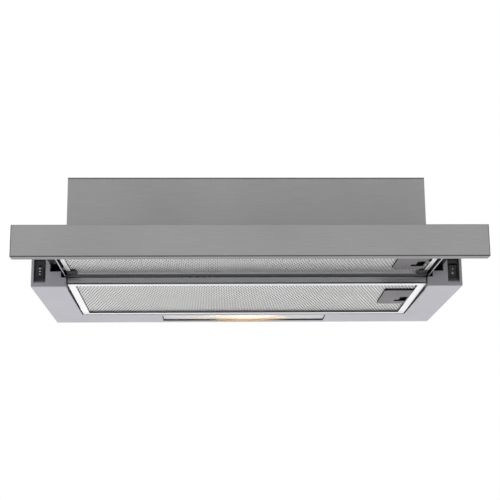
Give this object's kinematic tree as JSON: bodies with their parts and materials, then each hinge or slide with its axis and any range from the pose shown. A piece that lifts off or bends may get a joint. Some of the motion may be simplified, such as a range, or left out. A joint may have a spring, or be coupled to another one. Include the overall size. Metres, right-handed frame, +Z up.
{
  "type": "pull-out range hood",
  "caption": "Slim extractor hood with a pull-out filter drawer behind a steel front panel, a fixed grease filter, a lamp and a blower box with a round duct collar.",
  "frame": {"origin": "centre of the deck's top face, in the middle of the four cabinet fixings, where the deck bears under the wall cabinet", "axes": "+X to the right seen from the front, +Y to the wall, +Z up; the drawer is stored pulled out to its stop"},
  "size_m": [0.598, 0.4515, 0.18],
  "materials": {
    "painted_sheet": "satin silver-grey paint",
    "stainless_sheet": "brushed along X",
    "galvanised_sheet": "matt zinc coating",
    "block_plastic": "fine moulded grain",
    "black_steel": "satin black paint",
    "zinc_steel": "bright zinc",
    "black_plastic": "satin",
    "filter_frame_metal": "satin",
    "filter_mesh": "expanded mesh",
    "catch_plastic": "satin",
    "lamp_glass": "frosted",
    "bulb_glass": "opal",
    "lamp_ceramic": "matt",
    "reflector_metal": "polished",
    "casing_plastic": "satin",
    "fan_plastic": "satin",
    "laminations": "varnished",
    "bush_bronze": "sintered",
    "mount_rubber": "matt",
    "white_plastic": "satin",
    "flap_plastic": "satin"
  },
  "bodies": {
    "chassis": {"base_pan": "painted_sheet", "deck_plate": "galvanised_sheet", "box_wrap": "stainless_sheet", "box_back": "galvanised_sheet", "box_top": "galvanised_sheet", "left_end_block": "block_plastic", "right_end_block": "block_plastic", "left_slide_bracket": "galvanised_sheet", "right_slide_bracket": "galvanised_sheet", "left_fixed_slide": "zinc_steel", "right_fixed_slide": "zinc_steel", "speed_switch_body": "black_plastic", "light_switch_body": "black_plastic", "drawer_microswitch": "black_plastic", "lamp_housing": "galvanised_sheet", "lamp_reflector": "reflector_metal", "lamp_holder": "lamp_ceramic", "lamp_bulb": "bulb_glass", "lamp_lens": "lamp_glass", "scroll_base": "casing_plastic", "scroll_lid": "casing_plastic", "motor_case": "zinc_steel", "motor_stator": "laminations", "motor_bushes": "bush_bronze", "motor_mounts": "mount_rubber", "motor_screws": "zinc_steel", "outlet_spigot": "black_plastic", "flap_pin": "zinc_steel", "capacitor": "white_plastic", "terminal_box": "black_plastic", "cable_grommet": "mount_rubber", "fixing_nuts": "zinc_steel", "chassis_screws": "zinc_steel"},
    "fan": {"impeller": "fan_plastic", "motor_shaft": "zinc_steel", "motor_rotor": "laminations", "impeller_nut": "zinc_steel"},
    "left_flap": {"left_flap": "flap_plastic"},
    "right_flap": {"right_flap": "flap_plastic"},
    "speed_slider": {"speed_slider": "black_plastic"},
    "light_rocker": {"light_rocker": "black_plastic"},
    "microswitch_plunger": {"microswitch_plunger": "white_plastic"},
    "drawer": {"front_panel": "stainless_sheet", "drawer_crossbar": "galvanised_sheet", "drawer_tray": "galvanised_sheet", "left_drawer_rail": "black_steel", "right_drawer_rail": "black_steel", "drawer_rear_bar": "black_steel", "drawer_screws": "zinc_steel"},
    "left_ball_cage": {"left_ball_cage": "zinc_steel"},
    "right_ball_cage": {"right_ball_cage": "zinc_steel"},
    "fixed_filter": {"fixed_filter_frame": "filter_frame_metal", "fixed_filter_media": "filter_mesh", "fixed_filter_catch": "catch_plastic"},
    "fixed_filter_latch": {"fixed_filter_latch": "black_plastic"},
    "drawer_filter": {"drawer_filter_frame": "filter_frame_metal", "drawer_filter_media": "filter_mesh", "drawer_filter_catch": "catch_plastic", "drawer_filter_corners": "black_plastic"},
    "drawer_filter_latch": {"drawer_filter_latch": "black_plastic"}
  },
  "joints": [
    {"name": "drawer_slide", "type": "slide", "parent": "chassis", "child": "drawer", "axis": [0, 1, 0], "range_m": [0, 0.151]},
    {"name": "left_cage_slide", "type": "slide", "parent": "chassis", "child": "left_ball_cage", "axis": [0, 1, 0], "range_m": [0, 0.0755]},
    {"name": "right_cage_slide", "type": "slide", "parent": "chassis", "child": "right_ball_cage", "axis": [0, 1, 0], "range_m": [0, 0.0755]},
    {"name": "fixed_filter_hinge", "type": "hinge", "parent": "chassis", "child": "fixed_filter", "pos_m": [-0.2495, -0.0315, -0.0424], "axis": [0, -1, 0], "range_deg": [-55, 0]},
    {"name": "fixed_latch_slide", "type": "slide", "parent": "fixed_filter", "child": "fixed_filter_latch", "axis": [-1, 0, 0], "range_m": [0, 0.0045], "stiffness_N_per_m": 400},
    {"name": "drawer_filter_hinge", "type": "hinge", "parent": "drawer", "child": "drawer_filter", "pos_m": [-0.2495, -0.2155, -0.0255], "axis": [0, -1, 0], "range_deg": [-55, 0]},
    {"name": "drawer_latch_slide", "type": "slide", "parent": "drawer_filter", "child": "drawer_filter_latch", "axis": [-1, 0, 0], "range_m": [0, 0.0045], "stiffness_N_per_m": 400},
    {"name": "fan_spin", "type": "hinge", "parent": "chassis", "child": "fan", "pos_m": [-0.11, 0, 0.03], "axis": [0, 0, 1], "continuous": true},
    {"name": "left_flap_hinge", "type": "hinge", "parent": "chassis", "child": "left_flap", "pos_m": [0.05, 0.057, 0.072], "axis": [0, 1, 0], "range_deg": [0, 75]},
    {"name": "right_flap_hinge", "type": "hinge", "parent": "chassis", "child": "right_flap", "pos_m": [0.05, 0.057, 0.072], "axis": [0, -1, 0], "range_deg": [0, 75]},
    {"name": "speed_select", "type": "slide", "parent": "chassis", "child": "speed_slider", "axis": [0, 0, 1], "range_m": [0, 0.008]},
    {"name": "light_rocker_pivot", "type": "hinge", "parent": "chassis", "child": "light_rocker", "pos_m": [0.28615, -0.1326, -0.0213], "axis": [1, 0, 0], "range_deg": [-24, 0]},
    {"name": "microswitch_press", "type": "slide", "parent": "chassis", "child": "microswitch_plunger", "axis": [0, 1, 0], "range_m": [0, 0.002], "stiffness_N_per_m": 150}
  ],
  "couplings": [
    {"joint": "left_cage_slide", "follows": "drawer_slide", "ratio": 0.5},
    {"joint": "right_cage_slide", "follows": "drawer_slide", "ratio": 0.5}
  ]
}
